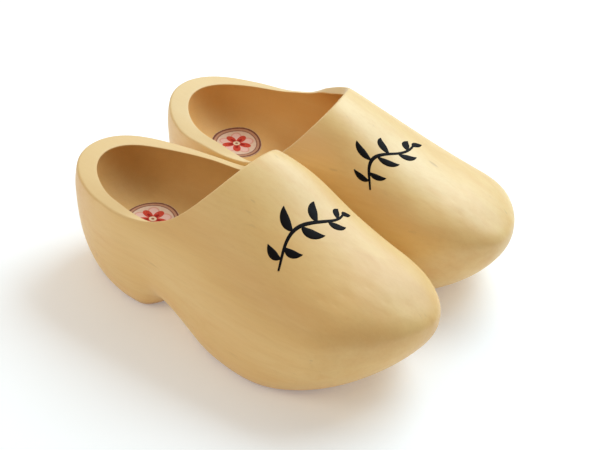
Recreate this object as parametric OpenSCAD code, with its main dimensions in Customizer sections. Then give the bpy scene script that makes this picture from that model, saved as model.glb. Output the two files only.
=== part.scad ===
// A pair of wooden clogs. Each clog is one carved block of wood with a round paper label on the
// foot bed at the heel and a leaf sprig painted across the instep.
// Lengths are in mm. +X points to the toes, +Y to the wearer's left, +Z up from the floor.

/* [Clog size] */
// Outside length of one clog from heel to toe
clog_l = 290; // [270:5:310]
// Outside width of one clog across the ball of the foot
clog_w = 115; // [108:1:120]
// Height of the instep lip above the floor
clog_h = 116; // [110:1:122]

/* [Opening] */
// Thickness of the wall behind the heel
heel_wall = 18; // [15:1:20]
// Thickness of the side walls at the rim
side_wall = 8; // [7:0.5:10]
// Thickness of the wood over the instep
vamp_wall = 10; // [8:0.5:12]
// Height of the rim's inner edge above its outer edge
rim_crown = 2; // [0:0.5:3]
// Rounding of the rim's outer edge
rim_round = 2; // [1.5:0.5:4]
// Rounding of the rim's inner edge
rim_ease = 1; // [0.5:0.5:2]

/* [Sole] */
// Height of the foot bed above the floor under the heel
bed_heel = 41; // [37:1:44]
// Height of the foot bed above the floor under the ball of the foot
bed_ball = 23; // [19:1:26]
// Length of the heel block from the back of the clog to the arch
heel_block = 88; // [82:1:94]
// Height of the arch between the heel block and the sole
arch_h = 7; // [4:1:10]

/* [Pair] */
// Narrowest gap between the two clogs
pair_gap = 4; // [2:0.5:20]
// How far each clog's toe turns out, in degrees
splay = 1.5; // [0.5:0.5:2]
// How far the left clog stands behind the right one
setback = 18; // [0:1:25]

/* [Heel label] */
// Diameter of the round label
label_d = 37; // [32:1:40]
// Distance of the right label's centre from the back of the clog
right_label_x = 62; // [52:1:64]
// Distance of the left label's centre from the back of the clog
left_label_x = 53; // [52:1:64]
// Distance of each label's centre from the clog's middle line, towards the outer side of the foot
label_y = 3; // [0:1:5]
// Thickness of the label
label_t = 0.4; // [0.3:0.1:0.6]

/* [Painted sprig] */
// Length of the sprig's stem, measured across the instep
sprig_l = 60; // [50:1:64]
// Distance of the stem from the back of the clog
sprig_x = 203; // [196:1:208]
// Sideways offset of the sprig's middle, towards the wearer's right
sprig_y = 14; // [8:1:18]
// Length of each leaf
leaf_l = 15; // [12:0.5:17]
// Width of each leaf
leaf_w = 6; // [4:0.25:7]
// Thickness of the paint film
paint_t = 0.3; // [0.2:0.1:0.5]

/* [Smoothness] */
// Facets around each clog
around = 64; // [44:4:64]

/* [Hidden] */

wood = [0.89, 0.77, 0.56];
paper = [0.90, 0.80, 0.72];
ink = [0.05, 0.045, 0.04];

// Rings of facets on the outside and in the hollow
outer_rings = 54;
inner_rings = 20;
// The meridians fan out from a point on the sole this many degrees forward of the middle
tilt = 33;
// Scales from the drawn clog, 290 long, 115 wide and 116 high
sx = clog_l / 290;
sy = clog_w / 115;
sz = clog_h / 116;
// Distance between the centres of the two clogs
spacing = 108.5 * sy + pair_gap;
// The sole is drawn this far below the floor, then planed flat at the floor
plane = 10;
// The planed edge is eased over this height
soft = 5;

// Columns of a form: distance from the heel, half width on the inner side of the foot, half width
// on the outer side, top, height of the widest line, bottom, centre line, lean of the ridge,
// fullness of the upper half, fullness of the lower half (2 is an ellipse, more is squarer).
outer_form = [
  [  0, 42, 42, 106, 52,  -8, 0,  0, 2.1, 2.8],
  [ 35, 45, 44, 112, 62, -10, 0,  0, 2.0, 3.0],
  [ 75, 50, 50, 113, 66, -10, 0,  0, 2.0, 4.0],
  [110, 50, 50, 113, 54, -10, 0,  3, 2.0, 3.6],
  [140, 51, 55, 118, 40, -10, 2,  7, 2.0, 3.2],
  [170, 51, 62, 110, 33, -10, 4, 10, 2.0, 3.7],
  [205, 51, 63,  92, 34,  -8, 3,  8, 2.1, 4.0],
  [250, 46, 56,  76, 44,   4, 3,  5, 2.1, 2.7],
  [290, 36, 45,  65, 52,  17, 8,  0, 2.3, 2.2]
];
bed_drop = bed_heel - bed_ball;
inner_form = [
  [  0, 41, 41, 110, 64, bed_heel + 1,                0, 0, 2.0, 2.6],
  [ 40, 44, 44, 110, 68, bed_heel,                    0, 0, 2.0, 2.6],
  [ 80, 50, 51, 112, 70, bed_heel - 0.3 * bed_drop,   0, 0, 2.0, 2.6],
  [115, 52, 53, 112, 62, bed_heel - 0.75 * bed_drop,  0, 3, 2.0, 2.6],
  [150, 51, 58, 119, 50, bed_ball,                    2, 7, 2.0, 2.5],
  [190, 50, 61, 101, 44, bed_ball - 1,                4, 7, 2.0, 2.4],
  [225, 46, 57,  85, 44, bed_ball + 1,                4, 5, 2.0, 2.3],
  [262, 38, 46,  69, 44, bed_ball + 8,                6, 2, 2.0, 2.2]
];
// Rim height: distance from the heel, inner side of the foot, outer side of the foot. The openings
// are finished by hand, so the left one differs a little from the right one.
right_rim = [
  [  0,  79,  79],
  [ 40,  70,  74],
  [ 70,  69,  73],
  [ 90,  71,  73],
  [108,  76,  76],
  [127,  88,  85],
  [145, 107, 103],
  [165, 134, 132],
  [190, 150, 150]
];
left_rim = [
  [  0,  79,  79],
  [ 40,  67,  72],
  [ 70,  66,  71],
  [ 90,  65,  77],
  [110,  67,  88],
  [125,  74,  96],
  [145,  91, 110],
  [165, 117, 138],
  [190, 150, 150]
];

// A smooth curve through the rows of a table
function span(t, x, i = 1) = (i >= len(t) - 1 || x < t[i][0]) ? i - 1 : span(t, x, i + 1);
function chord(t, i) = (t[i + 1] - t[i]) / (t[i + 1][0] - t[i][0]);
function gap(t, i) = t[i + 1][0] - t[i][0];
function slope(t, i) =
  i == 0 ? chord(t, 0)
  : i == len(t) - 1 ? chord(t, i - 1)
  : (chord(t, i - 1) * gap(t, i) + chord(t, i) * gap(t, i - 1)) / (gap(t, i - 1) + gap(t, i));
function row_at(t, x) =
  let(
    c = min(max(x, t[0][0]), t[len(t) - 1][0]),
    i = span(t, c),
    h = gap(t, i),
    u = (c - t[i][0]) / h,
    v = 1 - u
  )
  t[i] * (1 + 2 * u) * v * v + slope(t, i) * h * u * v * v
  + t[i + 1] * u * u * (3 - 2 * u) - slope(t, i + 1) * h * u * u * v;

function ease(u) = let(c = min(max(u, 0), 1)) c * c * (3 - 2 * c);
// Rounds a form off over the last length a before its end
function close(x, a) = let(r = min(max(1 - x / a, 0), 1)) sqrt(max(1 - r * r, 0));
// Rise of the sole at the arch: steep at the heel block, gentle towards the ball of the foot
function arch(x) = ease((x - heel_block) / 20) * (1 - ease((x - heel_block - 20) / 47));

// A form is [length, start, table, closures, is the outside].
// Closures: heel width, toe inner width, toe outer width, heel top, heel bottom, toe top, toe bottom
outer = [290, 0, outer_form, [56, 50, 48, 46, 42, 33, 58], true];
cavity = [262 - heel_wall, heel_wall, inner_form, [50, 52, 48, 46, 26, 45, 36], false];

// The section of a form at x: centre, two half widths, two half heights, widest height, ridge lean,
// fullness above and below
function section(f, x) =
  let(
    r = row_at(f[2], x),
    s = x - f[1],
    e = f[1] + f[0] - x,
    c = f[3],
    w = f[4] ? 0 : side_wall,
    v = f[4] ? 0 : vamp_wall,
    bottom = r[5] + (f[4] ? (arch_h + plane) * arch(x) : 0)
  )
  [
    r[6],
    (r[1] - w) * close(s, c[0]) * close(e, c[1]),
    (r[2] - w) * close(s, c[0]) * close(e, c[2]),
    (r[3] - v - r[4]) * close(s, c[3]) * close(e, c[5]),
    (r[4] - bottom) * close(s, c[4]) * close(e, c[6]),
    r[4],
    r[7] * close(s, c[3]),
    r[8],
    r[9]
  ];

// Point of a form in the direction n of a unit ball
function on_form(f, n) =
  let(
    x = f[1] + f[0] * (1 + n[0]) / 2,
    s = section(f, x),
    d = max(norm([n[1], n[2]]), 0.000001),
    c = n[1] / d,
    q = n[2] / d,
    m = q > 0 ? s[7] : s[8],
    k = pow(pow(abs(c), m) + pow(abs(q), m), -1 / m),
    up = max(q * k, 0)
  )
  [
    x * sx,
    (s[0] + (c > 0 ? s[1] : s[2]) * c * k + s[6] * up * up) * sy,
    planed(s[5] + (q > 0 ? s[3] : s[4]) * q * k) * sz
  ];
// The floor cuts the sole flat, with an eased edge
function planed(z) = z >= soft ? z : z <= -soft ? 0 : pow(z + soft, 2) / (4 * soft);

function rim_height(p, side) =
  let(b = ease(0.5 + p[1] / 80), r = row_at(side > 0 ? right_rim : left_rim, p[0] / sx))
  (r[2] * (1 - b) + r[1] * b) * sz;

// Direction t degrees from the sole's pole, along the meridian f
function direction(t, f) =
  let(a = sin(t) * cos(f), c = -cos(t))
  [a * cos(tilt) - c * sin(tilt), sin(t) * sin(f), a * sin(tilt) + c * cos(tilt)];
function meridian(k) = let(s = 360 * k / around) s + 10 * sin(2 * s);

// The angle along a meridian at which the form meets the rim, by halving
function rim_angle(f, lift, m, side, lo = 60, hi = 179, n = 18) =
  n == 0 ? (lo + hi) / 2
  : let(
      t = (lo + hi) / 2,
      p = on_form(f, direction(t, m)),
      above = p[2] > rim_height(p, side) + lift
    )
    rim_angle(f, lift, m, side, above ? lo : t, above ? t : hi, n - 1);
// The angle that lies a length r below the rim
function below(f, m, t, r) =
  t - r / max(norm(on_form(f, direction(t, m)) - on_form(f, direction(t - 1, m))), 0.3);
function bend(a, b, c, u) = a * (1 - u) * (1 - u) + b * 2 * u * (1 - u) + c * u * u;
function toward(a, b, r) = a + (b - a) * min(r / norm(b - a), 0.45);

function form_ring(f, stop, u) =
  [for (k = [0:around - 1]) on_form(f, direction(2 + (stop[k] - 2) * u, meridian(k)))];
// Rings lie closer together where they cross the arch
function closer(u) = u - 0.07 * (sin(360 * (u - 0.42)) + sin(151.2));

// All points of one clog: up the outside, over the rim and down into the hollow
function body_points(side) =
  let(
    outer_rim = [for (k = [0:around - 1]) rim_angle(outer, 0, meridian(k), side)],
    inner_rim = [for (k = [0:around - 1]) rim_angle(cavity, rim_crown, meridian(k), side)],
    outer_stop = [for (k = [0:around - 1]) below(outer, meridian(k), outer_rim[k], rim_round)],
    inner_stop = [for (k = [0:around - 1]) below(cavity, meridian(k), inner_rim[k], rim_ease)],
    rim_out = [for (k = [0:around - 1]) on_form(outer, direction(outer_rim[k], meridian(k)))],
    rim_in = [for (k = [0:around - 1]) on_form(cavity, direction(inner_rim[k], meridian(k)))],
    last_out = form_ring(outer, outer_stop, 1),
    last_in = form_ring(cavity, inner_stop, 1),
    rounded = [
      for (u = [1 / 3, 2 / 3, 1])
        [for (k = [0:around - 1])
          bend(last_out[k], rim_out[k], toward(rim_out[k], rim_in[k], rim_round), u)]
    ],
    eased = [
      for (u = [0, 1 / 2])
        [for (k = [0:around - 1])
          bend(toward(rim_in[k], rim_out[k], rim_ease), rim_in[k], last_in[k], u)]
    ],
    rings = concat(
      [for (i = [1:outer_rings]) form_ring(outer, outer_stop, closer(i / outer_rings))],
      rounded,
      eased,
      [for (i = [inner_rings:-1:1]) form_ring(cavity, inner_stop, i / inner_rings)]
    )
  )
  concat(
    [on_form(outer, direction(0, 0))],
    [for (r = rings, p = r) p],
    [on_form(cavity, direction(0, 0))]
  );
right_points = body_points(1);
left_points = body_points(-1);

// Faces of a closed skin made of rings of n points, with one point at each end. Each four-sided
// patch is split along its shorter diagonal.
function ring_faces(points, n) =
  let(end = len(points) - 1, count = (end - 1) / n)
  concat(
    [for (k = [0:n - 1]) [0, 1 + k, 1 + (k + 1) % n]],
    [for (i = [0:count - 2], k = [0:n - 1])
      let(
        a = 1 + i * n + k,
        b = 1 + i * n + (k + 1) % n,
        long = norm(points[a] - points[b + n]) > norm(points[b] - points[a + n])
      )
      each (long ? [[a, a + n, b], [b, a + n, b + n]] : [[a, a + n, b + n], [a, b + n, b]])],
    [for (k = [0:n - 1]) [end, end - n + (k + 1) % n, end - n + k]]
  );
function sided(faces, side) = side > 0 ? faces : [for (f = faces) [f[0], f[2], f[1]]];

// Stands a clog in its place: side 1 is the right clog, side -1 the left one, mirrored
function turned(p, side) =
  let(a = -side * splay, x = p[0] - clog_l / 2, y = side * p[1])
  [
    x * cos(a) - y * sin(a) + side * setback / 2,
    x * sin(a) + y * cos(a) - side * spacing / 2,
    p[2]
  ];
both = concat([for (p = right_points) turned(p, 1)], [for (p = left_points) turned(p, -1)]);
function middle(v) = (min(v) + max(v)) / 2;
centre = [middle([for (p = both) p[0]]), middle([for (p = both) p[1]]), 0];

module skin(points, faces, side) {
  polyhedron(
    points = [for (p = points) turned(p, side) - centre],
    faces = faces,
    convexity = 10
  );
}

// Height of the foot bed at x, y
function bed(x, y) =
  let(
    s = section(cavity, x / sx),
    d = y / sy - s[0],
    w = d > 0 ? s[1] : s[2],
    m = s[8]
  )
  (s[5] - s[4] * pow(max(1 - pow(min(abs(d) / w, 1), m), 0), 1 / m)) * sz;

// The label follows the foot bed, slightly let in so that it rests on the wood all over
label_rings = 4;
label_sides = 36;
label_sink = 0.3;
function label_ring(c, r, lift) =
  [for (k = [0:label_sides - 1])
    let(
      x = c + r * cos(360 * k / label_sides),
      y = r * sin(360 * k / label_sides) - label_y
    )
    [x, y, bed(x, y) + lift]];
function label_points(c) =
  concat(
    [[c, -label_y, bed(c, -label_y) - label_sink]],
    [for (i = [1:label_rings]) each label_ring(c, label_d / 2 * i / label_rings, -label_sink)],
    [for (i = [label_rings:-1:1]) each label_ring(c, label_d / 2 * i / label_rings, label_t)],
    [[c, -label_y, bed(c, -label_y) + label_t]]
  );

// The sprig is drawn on a flat sheet, u across the instep and v towards the heel, then laid on
// the wood. Each stroke is [points, greatest width]: points are [u, v].
function stem_at(u) = [(u - 0.5) * sprig_l, 5 * sin(360 * u - 40) - 2];
// A leaf starts at a place on the stem and curves away at an angle
function leaf(u, angle, size, curl) =
  let(s = stem_at(u))
  [for (i = [0:8])
    let(q = i / 8, a = angle + curl * q)
    s + size * q * [cos(a), sin(a)]];
strokes = [
  [[for (i = [0:12]) stem_at(i / 12)], 2.4, 0],
  [leaf(0.10, 118, leaf_l * 0.8, -30), leaf_w * 0.8, 1],
  [leaf(0.20, -112, leaf_l * 0.8, 40), leaf_w * 0.8, 1],
  [leaf(0.36, 104, leaf_l, -34), leaf_w, 1],
  [leaf(0.46, -104, leaf_l, 40), leaf_w, 1],
  [leaf(0.62, 92, leaf_l * 0.9, -36), leaf_w, 1],
  [leaf(0.72, -92, leaf_l * 0.8, 44), leaf_w * 0.9, 1],
  [leaf(0.86, 66, leaf_l * 0.7, -30), leaf_w * 0.8, 1],
  [leaf(0.97, 14, leaf_l * 0.6, -20), leaf_w * 0.8, 1]
];

// Point of the clog's upper surface, lifted along its normal; u runs along the section's arc
function on_vamp(u, v, lift, side) =
  let(
    x = sprig_x - v,
    n0 = vamp_direction(x, u, side),
    p = on_form(outer, n0),
    a = on_form(outer, vamp_direction(x + 1, u, side)) - p,
    b = on_form(outer, vamp_direction(x, u + 1, side)) - p,
    n = cross(a, b),
    out = n * sign(n[2]) / norm(n)
  )
  p + out * lift;
// The section angle grows by about one degree per mm of arc
function vamp_direction(x, u, side) =
  let(
    nx = 2 * x / 290 - 1,
    a = 90 + side * sprig_y * 0.95 - side * u * 0.95,
    r = sqrt(max(1 - nx * nx, 0))
  )
  [nx, r * cos(a), r * sin(a)];

sink = 0.5;
function stroke_width(s, q) =
  s[2] == 0 ? s[1] * (0.55 + 0.45 * sin(180 * q)) : max(s[1] * pow(sin(180 * q), 0.8), 0.3);
function stroke_points(s, side) =
  let(n = len(s[0]) - 1)
  [for (i = [0:n])
    let(
      a = s[0][max(i - 1, 0)],
      b = s[0][min(i + 1, n)],
      d = (b - a) / norm(b - a),
      h = stroke_width(s, i / n) / 2,
      l = s[0][i] + h * [-d[1], d[0]],
      r = s[0][i] - h * [-d[1], d[0]]
    )
    each [
      on_vamp(r[0], r[1], -sink, side),
      on_vamp(l[0], l[1], -sink, side),
      on_vamp(l[0], l[1], paint_t, side),
      on_vamp(r[0], r[1], paint_t, side)
    ]];
function stroke_faces(n) =
  concat(
    [[0, 1, 2], [0, 2, 3]],
    [for (i = [0:n - 1], j = [0:3], h = [0, 1])
      let(a = 4 * i + j, b = 4 * i + (j + 1) % 4)
      h == 0 ? [a, a + 4, b + 4] : [a, b + 4, b]],
    [[4 * n, 4 * n + 2, 4 * n + 1], [4 * n, 4 * n + 3, 4 * n + 2]]
  );

module clog(points, side) {
  color(wood)
    skin(points, sided(ring_faces(points, around), side), side);
}

module label(points, side) {
  color(paper)
    skin(points, sided(ring_faces(points, label_sides), side), side);
}

module sprig(side) {
  color(ink)
    for (s = strokes)
      skin(stroke_points(s, side), stroke_faces(len(s[0]) - 1), side);
}

module right_clog() {
  clog(right_points, 1);
}

module left_clog() {
  clog(left_points, -1);
}

module right_heel_label() {
  label(label_points(right_label_x), 1);
}

module left_heel_label() {
  label(label_points(left_label_x), -1);
}

module right_vamp_sprig() {
  sprig(1);
}

module left_vamp_sprig() {
  sprig(-1);
}

right_clog();
left_clog();
right_heel_label();
left_heel_label();
right_vamp_sprig();
left_vamp_sprig();
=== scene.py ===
"""A pair of wooden clogs: the looks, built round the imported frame. Lengths inside the shape
functions are in mm in each clog's own frame (x from heel to toe, +y to the inner side of the foot,
z up); they are turned into the row frame, in metres, by place()."""

from collections import namedtuple

import bmesh
import bpy
import numpy as np
from mathutils import Matrix, Vector


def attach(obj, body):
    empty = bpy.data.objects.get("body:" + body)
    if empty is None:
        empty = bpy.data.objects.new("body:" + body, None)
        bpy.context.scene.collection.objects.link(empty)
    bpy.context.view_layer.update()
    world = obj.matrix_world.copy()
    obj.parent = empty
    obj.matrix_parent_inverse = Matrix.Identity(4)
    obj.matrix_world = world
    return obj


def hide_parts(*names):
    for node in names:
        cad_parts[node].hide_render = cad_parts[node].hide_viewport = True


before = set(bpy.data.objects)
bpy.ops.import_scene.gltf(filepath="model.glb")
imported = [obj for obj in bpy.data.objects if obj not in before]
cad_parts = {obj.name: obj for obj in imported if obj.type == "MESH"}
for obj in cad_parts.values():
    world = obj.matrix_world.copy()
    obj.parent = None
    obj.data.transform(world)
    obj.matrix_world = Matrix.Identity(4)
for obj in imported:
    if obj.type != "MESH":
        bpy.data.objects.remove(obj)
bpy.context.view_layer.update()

# ---------------------------------------------------------------- the clog's shape
# As in the CAD, apart from LIP_DROP and the left rim from 110 to 145 mm, which follow the photo a
# little closer. Wherever a side is given, 1 is the right clog and -1 is the left one.
CLOG_L, HOLLOW_END = 290, 262
HEEL_WALL, SIDE_WALL, VAMP_WALL = 18, 8, 10
# the rim: height of its inner edge over its outer one at the heel, how far that falls towards the
# lip, from where and over what length, and how much its outer and inner edges are rounded
RIM_CROWN, LIP_DROP, RIM_ROUND, RIM_EASE = 2, 5, 2, 1
LIP_DROP_X, LIP_DROP_L = 75, 45
# across the clog, the rim's height goes from the outer side's to the inner side's over this width
RIM_BLEND = 80
BED_HEEL, BED_BALL, HEEL_BLOCK, ARCH_H = 41, 23, 88, 7
DROP = BED_HEEL - BED_BALL
ARCH_UP, ARCH_DOWN = 20, 47
# how much is planed off the sole, how softly its edge turns, and by how many degrees the line from
# the pole under the sole to the pole at the top leans back
PLANE, SOFT, TILT = 10, 5, 33
SPACING, SPLAY, SETBACK = 112.5, 1.5, 18
LABEL_R, LABEL_X, LABEL_Y, LABEL_T = 18.5, {1: 62, -1: 53}, -3, 0.4
SPRIG_L, SPRIG_X, SPRIG_Y, LEAF_L, LEAF_W, PAINT_T = 60, 203, 14, 15, 6, 0.3
# how deep a label's underside and a sprig's underside lie in the wood
LABEL_SUNK, PAINT_SUNK = 0.15, 0.3
# the thinnest that a brush stroke's paint gets at its edge, and the narrowest at its ends
PAINT_EDGE, STROKE_MIN = 0.02, 0.3
STEM_W = 2.4

# distance from the heel, half width on the inner side, half width on the outer side, top, widest
# height, bottom, centre line, lean of the ridge, fullness above, fullness below
OUTER_FORM = [
    [0, 42, 42, 106, 52, -8, 0, 0, 2.1, 2.8],
    [35, 45, 44, 112, 62, -10, 0, 0, 2.0, 3.0],
    [75, 50, 50, 113, 66, -10, 0, 0, 2.0, 4.0],
    [110, 50, 50, 113, 54, -10, 0, 3, 2.0, 3.6],
    [140, 51, 55, 118, 40, -10, 2, 7, 2.0, 3.2],
    [170, 51, 62, 110, 33, -10, 4, 10, 2.0, 3.7],
    [205, 51, 63, 92, 34, -8, 3, 8, 2.1, 4.0],
    [250, 46, 56, 76, 44, 4, 3, 5, 2.1, 2.7],
    [290, 36, 45, 65, 52, 17, 8, 0, 2.3, 2.2],
]
INNER_FORM = [
    [0, 41, 41, 110, 64, BED_HEEL + 1, 0, 0, 2.0, 2.6],
    [40, 44, 44, 110, 68, BED_HEEL, 0, 0, 2.0, 2.6],
    [80, 50, 51, 112, 70, BED_HEEL - 0.3 * DROP, 0, 0, 2.0, 2.6],
    [115, 52, 53, 112, 62, BED_HEEL - 0.75 * DROP, 0, 3, 2.0, 2.6],
    [150, 51, 58, 119, 50, BED_BALL, 2, 7, 2.0, 2.5],
    [190, 50, 61, 101, 44, BED_BALL - 1, 4, 7, 2.0, 2.4],
    [225, 46, 57, 85, 44, BED_BALL + 1, 4, 5, 2.0, 2.3],
    [262, 38, 46, 69, 44, BED_BALL + 8, 6, 2, 2.0, 2.2],
]
# distance from the heel, rim height on the inner side of the foot, and on the outer side; the
# openings are finished by hand, so the left one differs a little from the right one
RIGHT_RIM = [
    [0, 79, 79],
    [40, 70, 74],
    [70, 69, 73],
    [90, 71, 73],
    [108, 76, 76],
    [127, 88, 85],
    [145, 107, 103],
    [165, 134, 132],
    [190, 150, 150],
]
LEFT_RIM = [
    [0, 79, 79],
    [40, 67, 72],
    [70, 66, 71],
    [90, 65, 77],
    [110, 67, 90],
    [125, 74, 99],
    [145, 91, 112],
    [165, 117, 138],
    [190, 150, 150],
]
RIMS = {1: np.array(RIGHT_RIM, float), -1: np.array(LEFT_RIM, float)}

# A form: its length, where it starts, its table, over what length each of its sides rounds off
# (sides at the heel; inner, outer side at the toes; top, bottom at the heel; top, bottom at the
# toes), and whether it is the outside or the hollow
Form = namedtuple("Form", "length start table closings outside")
OUTER = Form(
    float(CLOG_L), 0.0, np.array(OUTER_FORM, float), (56, 50, 48, 46, 42, 33, 58), True
)
CAVITY = Form(
    float(HOLLOW_END - HEEL_WALL),
    float(HEEL_WALL),
    np.array(INNER_FORM, float),
    (50, 52, 48, 46, 26, 45, 36),
    False,
)
# A form's cross-section at some x: the columns of its table, with its ends rounded off
Section = namedtuple("Section", "centre inner outer above below widest lean full_above full_below")

AROUND = 240
OUTER_RINGS, ROUND_RINGS, FLAT_RINGS, EASE_RINGS, INNER_RINGS = 150, 8, 6, 5, 80
# the first ring's angle from its pole, and the angles between which the rim is looked for
FIRST, RIM_FROM, RIM_TO = np.radians(1), np.radians(60), np.radians(179)
# how much closer the rings lie at the arch, and how far along the skin the arch is
CLOSER, ARCH_AT = 0.07, 0.42
LABEL_AROUND = 120
# points along the stem, along a leaf and across a stroke
STEM_POINTS, LEAF_POINTS, ACROSS = 80, 28, 13


def rows(table, x):
    """A smooth curve through the rows of a table, at each x."""
    xs = table[:, 0]
    h = np.diff(xs)
    d = np.diff(table, axis=0) / h[:, None]
    m = np.empty_like(table)
    m[0], m[-1] = d[0], d[-1]
    m[1:-1] = (d[:-1] * h[1:, None] + d[1:] * h[:-1, None]) / (h[:-1] + h[1:])[:, None]
    x = np.clip(x, xs[0], xs[-1])
    i = np.clip(np.searchsorted(xs, x, side="right") - 1, 0, len(xs) - 2)
    u = ((x - xs[i]) / h[i])[..., None]
    v = 1 - u
    g = h[i][..., None]
    a = table[i] * (1 + 2 * u) * v * v + m[i] * g * u * v * v
    return a + table[i + 1] * u * u * (3 - 2 * u) - m[i + 1] * g * u * u * v


def ease(u):
    u = np.clip(u, 0, 1)
    return u * u * (3 - 2 * u)


def close(x, a):
    """Rounds a form off over the last length a before its end."""
    r = np.clip(1 - x / a, 0, 1)
    return np.sqrt(np.clip(1 - r * r, 0, 1))


def arch(x):
    """How far the sole has risen into the arch at x, from 0 to 1."""
    return ease((x - HEEL_BLOCK) / ARCH_UP) * (1 - ease((x - HEEL_BLOCK - ARCH_UP) / ARCH_DOWN))


def section(form, x):
    """The cross-section of a form at x. s and e are how far x is from the form's two ends."""
    r = rows(form.table, x)
    s, e, c = x - form.start, form.start + form.length - x, form.closings
    w, v = (0, 0) if form.outside else (SIDE_WALL, VAMP_WALL)
    bottom = r[..., 5] + ((ARCH_H + PLANE) * arch(x) if form.outside else 0)
    return Section(
        r[..., 6],
        (r[..., 1] - w) * close(s, c[0]) * close(e, c[1]),
        (r[..., 2] - w) * close(s, c[0]) * close(e, c[2]),
        (r[..., 3] - v - r[..., 4]) * close(s, c[3]) * close(e, c[5]),
        (r[..., 4] - bottom) * close(s, c[4]) * close(e, c[6]),
        r[..., 4],
        r[..., 7] * close(s, c[3]),
        r[..., 8],
        r[..., 9],
    )


def planed(z):
    """Cuts a form off flat at the floor, with a soft edge."""
    return np.where(z >= SOFT, z, np.where(z <= -SOFT, 0, (z + SOFT) ** 2 / (4 * SOFT)))


def on_form(form, n):
    """Points of a form in the directions n of a unit ball."""
    x = form.start + form.length * (1 + n[..., 0]) / 2
    s = section(form, x)
    d = np.maximum(np.hypot(n[..., 1], n[..., 2]), 1e-6)
    c, q = n[..., 1] / d, n[..., 2] / d
    m = np.where(q > 0, s.full_above, s.full_below)
    k = (np.abs(c) ** m + np.abs(q) ** m) ** (-1 / m)
    up = np.maximum(q * k, 0)
    y = s.centre + np.where(c > 0, s.inner, s.outer) * c * k + s.lean * up * up
    return np.stack([x, y, planed(s.widest + np.where(q > 0, s.above, s.below) * q * k)], -1)


def rim_height(p, side):
    """How high the rim's outer edge is over the points p of the floor."""
    b = ease(0.5 + p[..., 1] / RIM_BLEND)
    r = rows(RIMS[side], p[..., 0])
    return r[..., 2] * (1 - b) + r[..., 1] * b


# The directions round a ring, from the toes, a little closer together at the sides
MERIDIANS = np.arange(AROUND) * 360 / AROUND
MERIDIANS = np.radians(MERIDIANS + 10 * np.sin(np.radians(2 * MERIDIANS)))
CT, ST = np.cos(np.radians(TILT)), np.sin(np.radians(TILT))


def direction(t, f=MERIDIANS):
    """Directions of the unit ball at angle t from the pole under the sole."""
    a, c = np.sin(t) * np.cos(f), -np.cos(t)
    return np.stack([a * CT - c * ST, np.sin(t) * np.sin(f), a * ST + c * CT], -1)


def rim_lift(form, p):
    """How far the rim's inner edge stands above its outer one: a little at the heel, less at the
    lip, where the knife has come in at a slant."""
    if form.outside:
        return 0
    return RIM_CROWN - LIP_DROP * ease((p[:, 0] - LIP_DROP_X) / LIP_DROP_L)


def rim_angle(form, side):
    """The angle at which each meridian of a form reaches the rim."""
    lo, hi = np.full(AROUND, RIM_FROM), np.full(AROUND, RIM_TO)
    for _ in range(26):
        t = (lo + hi) / 2
        p = on_form(form, direction(t))
        above = p[:, 2] > rim_height(p, side) + rim_lift(form, p)
        hi, lo = np.where(above, t, hi), np.where(above, lo, t)
    return (lo + hi) / 2


def below(form, t, r):
    """The angle that is r mm short of t along each meridian."""
    one = np.radians(1)
    step = np.linalg.norm(on_form(form, direction(t)) - on_form(form, direction(t - one)), axis=1)
    return t - one * r / np.maximum(step, 0.3)


def toward(a, b, r):
    """Points r mm from a on the way to b, but never as far as the middle."""
    d = np.linalg.norm(b - a, axis=1, keepdims=True)
    return a + (b - a) * np.minimum(r / d, 0.45)


def bend(a, b, c, u):
    """A rounded corner from a to c with its tip towards b."""
    return a * (1 - u) ** 2 + b * 2 * u * (1 - u) + c * u * u


def closer(u):
    """Rings lie closer together where they cross the arch."""
    return u - CLOSER * (np.sin(2 * np.pi * (u - ARCH_AT)) + np.sin(2 * np.pi * ARCH_AT))


def clog_rings(side):
    """The rings of one clog's skin from the pole under the sole, over the rim, to the pole on the
    foot bed, and for each ring where it lies: 0 outside, 1 on the rim, 2 in the hollow."""
    t_out, t_in = rim_angle(OUTER, side), rim_angle(CAVITY, side)
    edge_out, edge_in = on_form(OUTER, direction(t_out)), on_form(CAVITY, direction(t_in))
    stop_out, stop_in = below(OUTER, t_out, RIM_ROUND), below(CAVITY, t_in, RIM_EASE)
    out, where = [], []
    for i in range(1, OUTER_RINGS + 1):
        u = closer(i / OUTER_RINGS)
        out.append(on_form(OUTER, direction(FIRST + (stop_out - FIRST) * u)))
        where.append(0.0)
    a, b = out[-1], toward(edge_out, edge_in, RIM_ROUND)
    for i in range(1, ROUND_RINGS + 1):
        out.append(bend(a, edge_out, b, i / ROUND_RINGS))
        where.append(i / ROUND_RINGS)
    c, d = toward(edge_in, edge_out, RIM_EASE), on_form(CAVITY, direction(stop_in))
    for i in range(1, FLAT_RINGS + 1):
        out.append(b + (c - b) * i / FLAT_RINGS)
        where.append(1.0)
    for i in range(1, EASE_RINGS + 1):
        out.append(bend(c, edge_in, d, i / EASE_RINGS))
        where.append(1 + i / EASE_RINGS)
    for i in range(INNER_RINGS - 1, 0, -1):
        out.append(on_form(CAVITY, direction(FIRST + (stop_in - FIRST) * i / INNER_RINGS)))
        where.append(2.0)
    return np.array(out), np.array(where)


def turned(p, side):
    """A clog stood in its place, in mm."""
    a = np.radians(-side * SPLAY)
    x, y = p[..., 0] - CLOG_L / 2, side * p[..., 1]
    return np.stack(
        [
            x * np.cos(a) - y * np.sin(a) + side * SETBACK / 2,
            x * np.sin(a) + y * np.cos(a) - side * SPACING / 2,
            p[..., 2],
        ],
        -1,
    )


RINGS = {s: clog_rings(s) for s in (1, -1)}
POLES = on_form(OUTER, direction(0.0, 0.0)), on_form(CAVITY, direction(0.0, 0.0))
BOTH = np.concatenate([turned(RINGS[s][0].reshape(-1, 3), s) for s in (1, -1)])
CENTRE = (BOTH.max(0) + BOTH.min(0)) / 2
CENTRE[2] = 0
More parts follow.
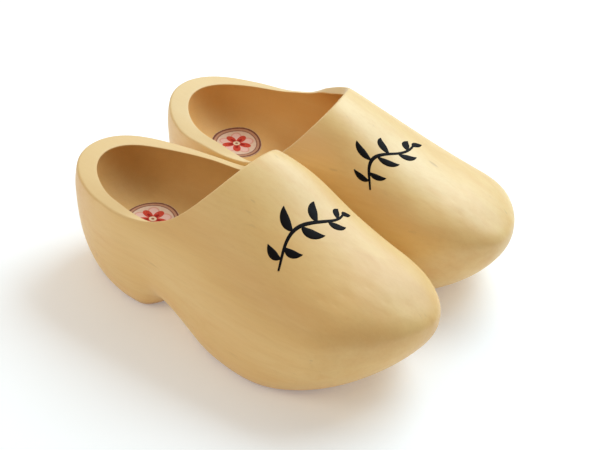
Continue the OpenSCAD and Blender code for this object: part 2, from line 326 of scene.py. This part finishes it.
# A hair smaller than drawn, so that the smooth skin stays inside the faceted one's box
SNUG = 0.9995


def place(p, side):
    """mm in a clog's own frame to metres in the row frame."""
    return (turned(p, side) - CENTRE) * SNUG / 1000


# ---------------------------------------------------------------- mesh helpers
def mesh_object(name, verts, faces):
    me = bpy.data.meshes.new(name)
    me.from_pydata([tuple(v) for v in verts], [], faces)
    me.validate()
    me.polygons.foreach_set("use_smooth", [True] * len(me.polygons))
    me.update()
    ob = bpy.data.objects.new(name, me)
    bpy.context.scene.collection.objects.link(ob)
    return ob


def ring_faces(count, n, side):
    """Faces of a skin made of count rings of n points, with a pole before and after them."""
    faces = [(0, 1 + (k + 1) % n, 1 + k) for k in range(n)]
    for i in range(count - 1):
        a, b = 1 + i * n, 1 + (i + 1) * n
        faces += [(a + k, a + (k + 1) % n, b + (k + 1) % n, b + k) for k in range(n)]
    end, last = 1 + count * n, 1 + (count - 1) * n
    faces += [(end, last + k, last + (k + 1) % n) for k in range(n)]
    return faces if side > 0 else [f[::-1] for f in faces]


def vector_attribute(ob, name, values):
    a = ob.data.attributes.new(name, "FLOAT_VECTOR", "POINT")
    a.data.foreach_set("vector", np.asarray(values, np.float32).ravel())


def face_outwards(ob):
    """Turns every face of a closed mesh outwards."""
    bm = bmesh.new()
    bm.from_mesh(ob.data)
    bmesh.ops.recalc_face_normals(bm, faces=bm.faces)
    bm.to_mesh(ob.data)
    bm.free()


def fit_out(ob, node, material):
    """Gives a piece its material and its body, and hides the CAD node it stands for."""
    ob.data.materials.append(material)
    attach(ob, node.split("_")[0])
    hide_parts(node)


# ---------------------------------------------------------------- node helpers
class Tree:
    """Short names for building a material."""

    def __init__(self, name):
        self.material = bpy.data.materials.new(name)
        self.material.use_nodes = True
        self.nt = self.material.node_tree
        self.nt.nodes.clear()
        out = self.nt.nodes.new("ShaderNodeOutputMaterial")
        self.bsdf = self.nt.nodes.new("ShaderNodeBsdfPrincipled")
        self.nt.links.new(self.bsdf.outputs[0], out.inputs["Surface"])

    def put(self, socket, value):
        """Links a socket, or sets it to a constant."""
        if isinstance(value, bpy.types.NodeSocket):
            self.nt.links.new(value, socket)
        elif value is not None:
            socket.default_value = value

    def node(self, kind, inputs=(), output=0, **props):
        n = self.nt.nodes.new(kind)
        for k, v in props.items():
            setattr(n, k, v)
        for k, v in dict(inputs).items():
            self.put(n.inputs[k], v)
        return n.outputs[output]

    def math(self, op, a, b=None, c=None, clamp=False):
        n = self.nt.nodes.new("ShaderNodeMath")
        n.operation, n.use_clamp = op, clamp
        for i, v in enumerate((a, b, c)):
            self.put(n.inputs[i], v)
        return n.outputs[0]

    def vmath(self, op, a, b=None, output=0):
        n = self.nt.nodes.new("ShaderNodeVectorMath")
        n.operation = op
        self.put(n.inputs[0], a)
        self.put(n.inputs[1], b)
        return n.outputs[output]

    def noise(self, vector, scale, detail=3.0, rough=0.55, output=0):
        sockets = {"Vector": vector, "Scale": scale, "Detail": detail, "Roughness": rough}
        return self.node("ShaderNodeTexNoise", sockets, output)

    def grained(self, p, stretch, detail, rough=0.55, output=0):
        """Noise over the block. stretch is how many spots it has per mm along each axis."""
        return self.noise(self.vmath("MULTIPLY", p, stretch), 1.0, detail, rough, output)

    def fit(self, v, a, b, c=0.0, d=1.0, smooth=False):
        """Takes v from the range a to b into the range c to d."""
        n = self.nt.nodes.new("ShaderNodeMapRange")
        n.interpolation_type = "SMOOTHSTEP" if smooth else "LINEAR"
        for i, x in enumerate((v, a, b, c, d)):
            self.put(n.inputs[i], x)
        return n.outputs[0]

    def mix(self, f, a, b, blend="MIX"):
        n = self.nt.nodes.new("ShaderNodeMix")
        n.data_type, n.blend_type = "RGBA", blend
        self.put(n.inputs["Factor"], f)
        for i, v in ((6, a), (7, b)):
            self.put(n.inputs[i], (*v, 1) if isinstance(v, tuple) and len(v) == 3 else v)
        return n.outputs[2]

    def ramp(self, f, stops, interpolation="LINEAR"):
        n = self.nt.nodes.new("ShaderNodeValToRGB")
        r = n.color_ramp
        r.interpolation = interpolation
        while len(r.elements) < len(stops):
            r.elements.new(0.5)
        for e, (p, c) in zip(r.elements, stops):
            e.position, e.color = p, (*c, 1)
        self.put(n.inputs[0], f)
        return n.outputs[0]

    def bump(self, height, strength, distance, normal=None):
        n = self.nt.nodes.new("ShaderNodeBump")
        self.put(n.inputs["Height"], height)
        n.inputs["Strength"].default_value = strength
        n.inputs["Distance"].default_value = distance
        self.put(n.inputs["Normal"], normal)
        return n.outputs[0]

    def attribute(self, name, output="Vector"):
        n = self.nt.nodes.new("ShaderNodeAttribute")
        n.attribute_type, n.attribute_name = "GEOMETRY", name
        return n.outputs[output]

    def split(self, v):
        n = self.nt.nodes.new("ShaderNodeSeparateXYZ")
        self.put(n.inputs[0], v)
        return n.outputs

    def join(self, x=0.0, y=0.0, z=0.0):
        return self.node("ShaderNodeCombineXYZ", {0: x, 1: y, 2: z})


# ---------------------------------------------------------------- materials
def wood_material(name, pith, tint, hollow_wood_and_shade_tint, nick):
    """Solid poplar: growth rings about a pith line, fibre streaks, pores and slow colour change,
    all in the clog's own coordinates (mm), so that the grain runs through the block. The pith
    lies where y + pith[0] + pith[2] * x and z + pith[1] + pith[3] * x are 0; nick is where one
    small knife nick lies."""
    t = Tree(name)
    p = t.attribute("block")
    x, y, z = t.split(p)
    zone = t.split(t.attribute("zone"))
    rim, hollow, low = zone[0], zone[1], zone[2]
    toe = t.attribute("along", "Fac")

    # growth rings: distance from a pith line that drifts along the block
    warp = t.grained(p, (0.006, 0.02, 0.02), 2.0, 0.5, output=1)
    warp = t.vmath("SCALE", t.vmath("SUBTRACT", warp, (0.5, 0.5, 0.5)))
    warp.node.inputs["Scale"].default_value = 34.0
    warp = t.split(warp)
    drift_y = t.math("MULTIPLY_ADD", x, pith[2], pith[0])
    drift_z = t.math("MULTIPLY_ADD", x, pith[3], pith[1])
    wy = t.math("ADD", t.math("ADD", y, drift_y), warp[1])
    wz = t.math("ADD", t.math("ADD", z, drift_z), warp[2])
    radius = t.math("SQRT", t.math("ADD", t.math("MULTIPLY", wy, wy), t.math("MULTIPLY", wz, wz)))
    spacing = t.noise(t.join(t.math("MULTIPLY", radius, 0.02), 3.0, 5.0), 1.0, 1.0)
    rings_per_mm, uneven = 0.115, 2.2
    count = t.math("MULTIPLY_ADD", spacing, uneven, t.math("MULTIPLY", radius, rings_per_mm))
    phase = t.math("FRACT", count)
    late_wood = [(0.0, (0, 0, 0)), (0.55, (0.25,) * 3), (0.9, (1,) * 3), (1.0, (0,) * 3)]
    late = t.ramp(phase, late_wood, "EASE")
    ring_here = t.grained(p, (0.008, 0.03, 0.03), 1.0)
    late = t.math("MULTIPLY", late, t.fit(ring_here, 0.35, 0.65, 0.25, 1.0))

    # fibres: noise drawn out along the grain
    fibre = t.grained(p, (0.018, 0.55, 0.55), 4.0, 0.6)
    streak = t.grained(p, (0.006, 0.13, 0.13), 3.0)
    pores = t.grained(p, (0.14, 3.2, 3.2), 2.0, 0.5)
    broad = t.grained(p, (0.004, 0.022, 0.022), 2.0, 0.5)

    darker, middle, paler = (0.735, 0.46, 0.17), (0.79, 0.54, 0.215), (0.81, 0.585, 0.26)
    base = t.ramp(broad, [(0.3, darker), (0.5, middle), (0.7, paler)])
    base = t.mix(t.fit(streak, 0.42, 0.75, 0.0, 0.34), base, (0.74, 0.41, 0.13))
    base = t.mix(t.math("MULTIPLY", late, 0.09), base, (0.62, 0.35, 0.13))
    base = t.mix(t.fit(fibre, 0.5, 0.8, 0.0, 0.2), base, (0.62, 0.37, 0.15))
    base = t.mix(t.fit(fibre, 0.5, 0.2, 0.0, 0.12), base, (0.86, 0.62, 0.32))
    base = t.mix(t.fit(pores, 0.60, 0.78, 0.0, 0.12), base, (0.45, 0.25, 0.10))

    # a few short mineral streaks
    mineral = t.grained(p, (0.03, 0.30, 0.30), 1.0)
    patch = t.grained(p, (0.012, 0.02, 0.02), 1.0)
    mineral = t.math("MULTIPLY", t.fit(mineral, 0.70, 0.80), t.fit(patch, 0.52, 0.62))
    base = t.mix(t.math("MULTIPLY", mineral, 0.35), base, (0.46, 0.30, 0.15))

    # one short knife nick along the grain
    away = t.vmath("MULTIPLY", t.vmath("SUBTRACT", p, nick), (0.2, 0.75, 0.2))
    cut = t.fit(t.vmath("LENGTH", away, output=1), 0.4, 1.0, 1.0, 0.0, smooth=True)
    base = t.mix(t.math("MULTIPLY", cut, 0.6), base, (0.56, 0.37, 0.18))

    # sanded rim, paler; hollow, browner and less even, with painted shade in it; edge at the floor,
    # darkened by painted contact shade and a little soil
    base = t.mix(t.math("MULTIPLY", rim, 0.6), base, (0.80, 0.60, 0.32))
    blotch = t.grained(p, (0.03, 0.05, 0.05), 3.0)
    # painted shade in the hollow, on top of its browner wood: the tint darkens the recess, and more
    # in the right clog than in the left
    base = t.mix(t.math("MULTIPLY", hollow, t.fit(blotch, 0.3, 0.7, 0.6, 0.85)), base, hollow_wood_and_shade_tint)
    # painted contact shade with a little soil: reddish brown, strongest at the floor and gone by 6
    # mm up
    soil_and_contact_shade = t.noise(p, 0.07, 4.0, 0.6)
    soil_and_contact_shade = t.math("MULTIPLY", low, t.fit(soil_and_contact_shade, 0.3, 0.7, 0.6, 0.95))
    base = t.mix(soil_and_contact_shade, base, (0.32, 0.12, 0.04))
    base = t.mix(1.0, base, tint, "MULTIPLY")
    t.put(t.bsdf.inputs["Base Color"], base)

    rough = t.math("ADD", t.fit(fibre, 0.2, 0.8, -0.04, 0.05), t.fit(blotch, 0.2, 0.8, -0.03, 0.03))
    rough = t.math("ADD", rough, t.math("MULTIPLY_ADD", hollow, 0.22, 0.48))
    rough = t.math("ADD", rough, t.math("MULTIPLY", pores, 0.06), clamp=True)
    t.put(t.bsdf.inputs["Roughness"], rough)
    t.bsdf.inputs["IOR"].default_value = 1.45
    outside = t.fit(hollow, 0.0, 1.0, 1.0, 0.1)
    t.put(t.bsdf.inputs["Sheen Weight"], t.math("MULTIPLY", outside, 0.03))
    t.bsdf.inputs["Sheen Roughness"].default_value = 0.5
    t.put(t.bsdf.inputs["Coat Weight"], t.math("MULTIPLY", outside, 0.35))
    t.bsdf.inputs["Coat Roughness"].default_value = 0.45

    n = t.bump(fibre, 0.12, 0.0004)
    n = t.bump(pores, 0.10, 0.0002, n)
    # tool marks across the hollow
    chatter = t.grained(p, (0.9, 0.06, 0.06), 2.0)
    n = t.bump(t.math("MULTIPLY", chatter, hollow), 0.25, 0.0006, n)
    # shallow flats left by the last knife cuts round the toe
    flats = t.node(
        "ShaderNodeTexVoronoi",
        {"Vector": t.vmath("MULTIPLY", p, (0.07, 0.11, 0.11)), "Scale": 1.0},
        feature="SMOOTH_F1",
    )
    flats = t.math("MULTIPLY", flats, t.fit(toe, 205.0, 250.0, smooth=True))
    n = t.bump(flats, 0.6, 0.001, n)
    n = t.bump(t.math("MULTIPLY", cut, -1.0), 0.6, 0.0005, n)
    t.put(t.bsdf.inputs["Normal"], n)
    return t.material


def paint_material(name):
    """Black brush paint, semi-gloss, with slight thin places along the stroke."""
    t = Tree(name)
    wear = t.grained(t.attribute("block"), (0.5, 0.9, 0.9), 4.0, 0.6)
    base = t.mix(t.fit(wear, 0.62, 0.82, 0.0, 0.35), (0.006, 0.005, 0.005), (0.03, 0.022, 0.015))
    t.put(t.bsdf.inputs["Base Color"], base)
    t.put(t.bsdf.inputs["Roughness"], t.fit(wear, 0.3, 0.8, 0.5, 0.62))
    t.bsdf.inputs["Specular IOR Level"].default_value = 0.05
    t.put(t.bsdf.inputs["Normal"], t.bump(wear, 0.15, 0.0002))
    return t.material


def print_material(name):
    """A round paper label: a border of three rings, and a flower of five red petals with five
    paler ones between them. Radii are in mm."""
    t = Tree(name)
    place_on_label = t.attribute("print")
    u, v, _ = t.split(place_on_label)
    wobble = t.noise(place_on_label, 0.6, 3.0, 0.5)
    radius = t.math("SQRT", t.math("ADD", t.math("MULTIPLY", u, u), t.math("MULTIPLY", v, v)))
    radius = t.math("ADD", radius, t.math("MULTIPLY_ADD", wobble, 0.5, -0.25))
    angle = t.math("ARCTAN2", v, u)
    petal_count, pale_turn, red_turn = 5, 0.5, 2.07

    def ring(lo, hi, ink_left):
        soft = 0.18
        up = t.fit(radius, lo - soft, lo + soft, smooth=True)
        down = t.fit(radius, hi - soft, hi + soft, 1.0, 0.0, smooth=True)
        return t.math("MULTIPLY", t.math("MULTIPLY", up, down), ink_left)

    def petals(turn, inner, outer, power):
        soft = 0.35
        wave = t.math("COSINE", t.math("MULTIPLY_ADD", angle, petal_count / 2, turn))
        wave = t.math("POWER", t.math("ABSOLUTE", wave), power)
        reach = t.math("MULTIPLY_ADD", wave, outer - inner, inner)
        return t.fit(t.math("SUBTRACT", reach, radius), -soft, soft, smooth=True)

    ink = t.noise(place_on_label, 1.6, 3.0, 0.6)
    thin, thick = t.fit(ink, 0.3, 0.6, 0.6, 1.0), t.fit(ink, 0.25, 0.5, 0.75, 1.0)
    col = t.mix(t.noise(place_on_label, 0.35, 3.0), (0.70, 0.42, 0.27), (0.82, 0.63, 0.46))
    layers = [
        (t.math("MULTIPLY", petals(pale_turn, 3.0, 13.2, 0.55), 0.85), (0.72, 0.30, 0.22)),
        (t.math("MULTIPLY", petals(pale_turn, 2.2, 12.2, 0.8), thin), (0.84, 0.52, 0.42)),
        (t.math("MULTIPLY", petals(red_turn, 3.4, 11.0, 1.1), thick), (0.60, 0.045, 0.02)),
        (petals(red_turn, 1.0, 6.6, 2.0), (0.36, 0.015, 0.01)),
        (t.fit(radius, 2.9, 2.3, smooth=True), (0.80, 0.58, 0.36)),
        (t.fit(radius, 1.3, 0.8, smooth=True), (0.35, 0.09, 0.04)),
        (ring(14.6, 15.5, 0.85), (0.24, 0.05, 0.02)),
        (ring(15.5, 16.9, 0.85), (0.50, 0.22, 0.11)),
        (ring(16.9, 18.2, 0.92), (0.17, 0.035, 0.012)),
    ]
    for mask, colour in layers:
        col = t.mix(mask, col, colour)
    scuff = t.grained(place_on_label, (0.25, 1.1, 1.0), 4.0, 0.65)
    col = t.mix(t.fit(scuff, 0.58, 0.8, 0.0, 0.5), col, (0.70, 0.52, 0.38))
    t.put(t.bsdf.inputs["Base Color"], col)
    t.put(t.bsdf.inputs["Roughness"], t.fit(scuff, 0.3, 0.75, 0.5, 0.65))
    t.bsdf.inputs["Specular IOR Level"].default_value = 0.06
    t.put(t.bsdf.inputs["Normal"], t.bump(scuff, 0.15, 0.0002))
    return t.material


def plain_material(name, colour, rough, glow):
    t = Tree(name)
    t.bsdf.inputs["Emission Color"].default_value = (1, 1, 1, 1)
    t.bsdf.inputs["Emission Strength"].default_value = glow
    t.bsdf.inputs["Base Color"].default_value = (*colour, 1)
    t.bsdf.inputs["Roughness"].default_value = rough
    return t.material


# ---------------------------------------------------------------- the clogs
def build_clog(side, name, node, material, shift):
    """One clog's body. shift, in mm, says which part of the tree the block was cut from."""
    rings, where = RINGS[side]
    local = np.concatenate([[POLES[0]], rings.reshape(-1, 3), [POLES[1]]])
    where = np.concatenate([[0.0], np.repeat(where, AROUND), [2.0]])
    ob = mesh_object(name, place(local, side), ring_faces(len(rings), AROUND, side))
    vector_attribute(ob, "block", local * [1, side, 1] + shift)
    rim = np.clip(1 - np.abs(where - 1), 0, 1)
    hollow = np.clip(where - 1, 0, 1)
    # outside, painted contact shade with a little soil: full from half a mm above the floor, none
    # at 6 mm
    low = (1 - ease((local[:, 2] - 0.5) / 5.5)) * (where < 0.5)
    vector_attribute(ob, "zone", np.stack([rim, hollow, low], 1))
    along = ob.data.attributes.new("along", "FLOAT", "POINT")
    along.data.foreach_set("value", local[:, 0].astype(np.float32))
    fit_out(ob, node, material)


def bed(x, y):
    """The foot bed's height."""
    s = section(CAVITY, x)
    d = y - s.centre
    w = np.where(d > 0, s.inner, s.outer)
    m = s.full_below
    curve = np.maximum(1 - np.minimum(np.abs(d) / w, 1) ** m, 0) ** (1 / m)
    return s.widest - s.below * curve


def build_label(side, name, node, material):
    """A thin disc that follows the foot bed, with a rounded edge."""
    n = LABEL_AROUND
    f = np.arange(n) * 2 * np.pi / n
    # radius and height over the bed: the underside, the edge, the top
    profile = [(0.0, -LABEL_SUNK)]
    profile += [(r, -LABEL_SUNK) for r in np.linspace(1.0, LABEL_R - 1, 10)]
    profile += [(LABEL_R, -LABEL_SUNK), (LABEL_R, LABEL_T * 0.6), (LABEL_R - 0.15, LABEL_T * 0.9)]
    profile += [(r, LABEL_T) for r in np.linspace(LABEL_R - 0.45, 1.0, 18)]
    profile += [(0.0, LABEL_T)]
    middle = np.array([LABEL_X[side], LABEL_Y, 0.0])
    rings = []
    for r, lift in profile:
        x, y = middle[0] + r * np.cos(f), middle[1] + r * np.sin(f)
        rings.append(np.stack([x, y, bed(x, y) + lift], 1))
    local = np.concatenate([rings[0][:1], *rings[1:-1], rings[-1][:1]])
    ob = mesh_object(name, place(local, side), ring_faces(len(rings) - 2, n, side))
    vector_attribute(ob, "print", (local - middle) * [1, side, 0])
    fit_out(ob, node, material)


# ---------------------------------------------------------------- the painted sprigs
def stem_at(u):
    """The stem's middle line, from 0 to 1 along it, in mm."""
    return np.array([(u - 0.5) * SPRIG_L, 5 * np.sin(np.radians(360 * u - 40)) - 2])


def leaf(u, angle, size, curl):
    """A leaf's middle line: where it leaves the stem, its angle and curl in degrees."""
    q = np.linspace(0, 1, LEAF_POINTS)
    a = np.radians(angle + curl * q)
    return stem_at(u) + size * q[:, None] * np.stack([np.cos(a), np.sin(a)], 1)


# middle line, width, and whether it is the stem
STROKES = [
    (np.array([stem_at(u) for u in np.linspace(0, 1, STEM_POINTS)]), STEM_W, True),
    (leaf(0.10, 118, LEAF_L * 0.8, -30), LEAF_W * 0.8, False),
    (leaf(0.20, -112, LEAF_L * 0.8, 40), LEAF_W * 0.8, False),
    (leaf(0.36, 104, LEAF_L, -34), LEAF_W, False),
    (leaf(0.46, -104, LEAF_L, 40), LEAF_W, False),
    (leaf(0.62, 92, LEAF_L * 0.9, -36), LEAF_W, False),
    (leaf(0.72, -92, LEAF_L * 0.8, 44), LEAF_W * 0.9, False),
    (leaf(0.86, 66, LEAF_L * 0.7, -30), LEAF_W * 0.8, False),
    (leaf(0.97, 14, LEAF_L * 0.6, -20), LEAF_W * 0.8, False),
]
# degrees round the clog's upper surface for each mm across it
TURN_PER_MM = 0.95


def vamp_direction(x, u, side):
    """The direction of the point of the upper surface at x, u mm across from the motif's middle."""
    nx = 2 * x / CLOG_L - 1
    a = np.radians(90 + side * SPRIG_Y * TURN_PER_MM - side * u * TURN_PER_MM)
    r = np.sqrt(np.maximum(1 - nx * nx, 0))
    return np.stack([nx, r * np.cos(a), r * np.sin(a)], -1)


def on_vamp(u, v, lift, side):
    """Points of the clog's upper surface, lifted along its normal."""
    x = SPRIG_X - v
    p = on_form(OUTER, vamp_direction(x, u, side))
    a = on_form(OUTER, vamp_direction(x + 0.5, u, side)) - p
    b = on_form(OUTER, vamp_direction(x, u + 0.5, side)) - p
    n = np.cross(a, b)
    n *= (np.sign(n[..., 2]) / np.linalg.norm(n, axis=-1))[..., None]
    return p + n * np.asarray(lift)[..., None]


def stroke_mesh(stroke, side):
    """A brush stroke: a ribbon, highest along its middle and thin at its edges."""
    line, width, stem = stroke
    n = len(line)
    q = np.linspace(0, 1, n)
    d = np.gradient(line, axis=0)
    d /= np.linalg.norm(d, axis=1, keepdims=True)
    across = np.stack([-d[:, 1], d[:, 0]], 1)
    s = np.sin(np.pi * q)
    w = width * (0.55 + 0.45 * s) if stem else np.maximum(width * s**0.8, STROKE_MIN)
    k = ACROSS
    c = np.linspace(-1, 1, k)
    uv = line[:, None, :] + across[:, None, :] * (w[:, None] / 2 * c)[..., None]
    ripple = 0.75 + 0.25 * np.cos(7 * q)[:, None] ** 2
    lift = PAINT_EDGE + (PAINT_T - PAINT_EDGE) * (1 - c**4) * ripple
    top = on_vamp(uv[..., 0], uv[..., 1], lift, side)
    low = on_vamp(uv[..., 0], uv[..., 1], np.full_like(lift, -PAINT_SUNK), side)
    pts = np.concatenate([top.reshape(-1, 3), low.reshape(-1, 3)])
    m = n * k
    faces = []
    for i in range(n - 1):
        for j in range(k - 1):
            a, b, e, f = i * k + j, i * k + j + 1, (i + 1) * k + j + 1, (i + 1) * k + j
            faces += [(a, b, e, f), (m + f, m + e, m + b, m + a)]
    loop = list(range(k)) + [(i + 1) * k - 1 for i in range(1, n)]
    loop += [(n - 1) * k + j for j in range(k - 2, -1, -1)] + [i * k for i in range(n - 2, 0, -1)]
    for a, b in zip(loop, loop[1:] + loop[:1]):
        faces.append((b, a, m + a, m + b))
    return pts, faces


def build_sprig(side, name, node, material):
    points, faces = [], []
    for s in STROKES:
        p, f = stroke_mesh(s, side)
        start = sum(len(q) for q in points)
        points.append(p)
        faces += [tuple(start + i for i in g) for g in f]
    local = np.concatenate(points)
    ob = mesh_object(name, place(local, side), faces)
    face_outwards(ob)
    vector_attribute(ob, "block", local)
    fit_out(ob, node, material)


wood_right = wood_material(
    "poplar_right",
    pith=(38.0, 30.0, -0.06, 0.05),
    tint=(1.01, 0.96, 0.88),
    hollow_wood_and_shade_tint=(0.58, 0.325, 0.10),
    nick=(262.0, -34.0, 52.0),
)
wood_left = wood_material(
    "poplar_left",
    pith=(-30.0, 46.0, 0.05, -0.07),
    tint=(1.02, 1.0, 0.98),
    hollow_wood_and_shade_tint=(0.74, 0.40, 0.115),
    nick=(757.0, 173.0, 172.5),
)
build_clog(1, "right_clog_body", "right_clog", wood_right, (0, 0, 0))
build_clog(-1, "left_clog_body", "left_clog", wood_left, (530, 170, 90))
label = print_material("printed_label")
build_label(1, "right_label_disc", "right_heel_label", label)
build_label(-1, "left_label_disc", "left_heel_label", label)
paint = paint_material("black_paint")
build_sprig(1, "right_painted_sprig", "right_vamp_sprig", paint)
build_sprig(-1, "left_painted_sprig", "left_vamp_sprig", paint)

# ---------------------------------------------------------------- stage, light and camera
floor = mesh_object("floor", [(-8, -8, 0), (8, -8, 0), (8, 8, 0), (-8, 8, 0)], [(0, 1, 2, 3)])
floor.data.materials.append(plain_material("pale_floor", (0.86, 0.86, 0.85), 0.9, 0.19))

world = bpy.data.worlds.new("studio")
bpy.context.scene.world = world
world.use_nodes = True
sky = world.node_tree.nodes["Background"].inputs
sky["Color"].default_value = (1.0, 0.93, 0.85, 1)
sky["Strength"].default_value = 0.39


LIT = Vector((0, 0, 0.05))


def area(name, spot, size, energy, colour=(1, 1, 1)):
    """A soft light, aimed at the middle of the pair."""
    data = bpy.data.lights.new(name, "AREA")
    data.shape, data.size, data.size_y = "RECTANGLE", size[0], size[1]
    data.energy, data.color = energy, colour
    ob = bpy.data.objects.new(name, data)
    bpy.context.scene.collection.objects.link(ob)
    ob.location = spot
    ob.rotation_euler = (LIT - Vector(spot)).to_track_quat("-Z", "Y").to_euler()


area("behind", (0.15, 1.1, 1.2), (1.4, 1.0), 23, (0.83, 1.07, 1.25))
area("high", (-0.6, 0.8, 1.3), (1.8, 1.8), 5)
area("left", (-0.8, -1.1, 0.9), (0.9, 0.9), 5.4, (1.0, 0.94, 0.8))

camera = bpy.data.cameras.new("camera")
camera.lens, camera.sensor_width = 81.9, 36
camera.clip_start, camera.clip_end = 0.05, 50
cam = bpy.data.objects.new("camera", camera)
bpy.context.scene.collection.objects.link(cam)
# how far round from the side, how far down, how tilted, how far away, and what it looks at
AZ, EL, ROLL, DIST = np.radians(40.5), np.radians(32), np.radians(-0.5), 0.88
LOOK_AT = np.array([0.0307, -0.0256, 0.0605])
back = np.array([np.sin(AZ) * np.cos(EL), -np.cos(AZ) * np.cos(EL), np.sin(EL)])
right = np.cross(-back, [0, 0, 1])
right /= np.linalg.norm(right)
up = np.cross(right, -back)
cx = np.cos(ROLL) * right + np.sin(ROLL) * up
cy = -np.sin(ROLL) * right + np.cos(ROLL) * up
eye = LOOK_AT + DIST * back
cam.matrix_world = Matrix([[cx[i], cy[i], back[i], eye[i]] for i in range(3)] + [[0, 0, 0, 1]])
bpy.context.scene.camera = cam
bpy.context.scene.view_settings.view_transform = "Standard"
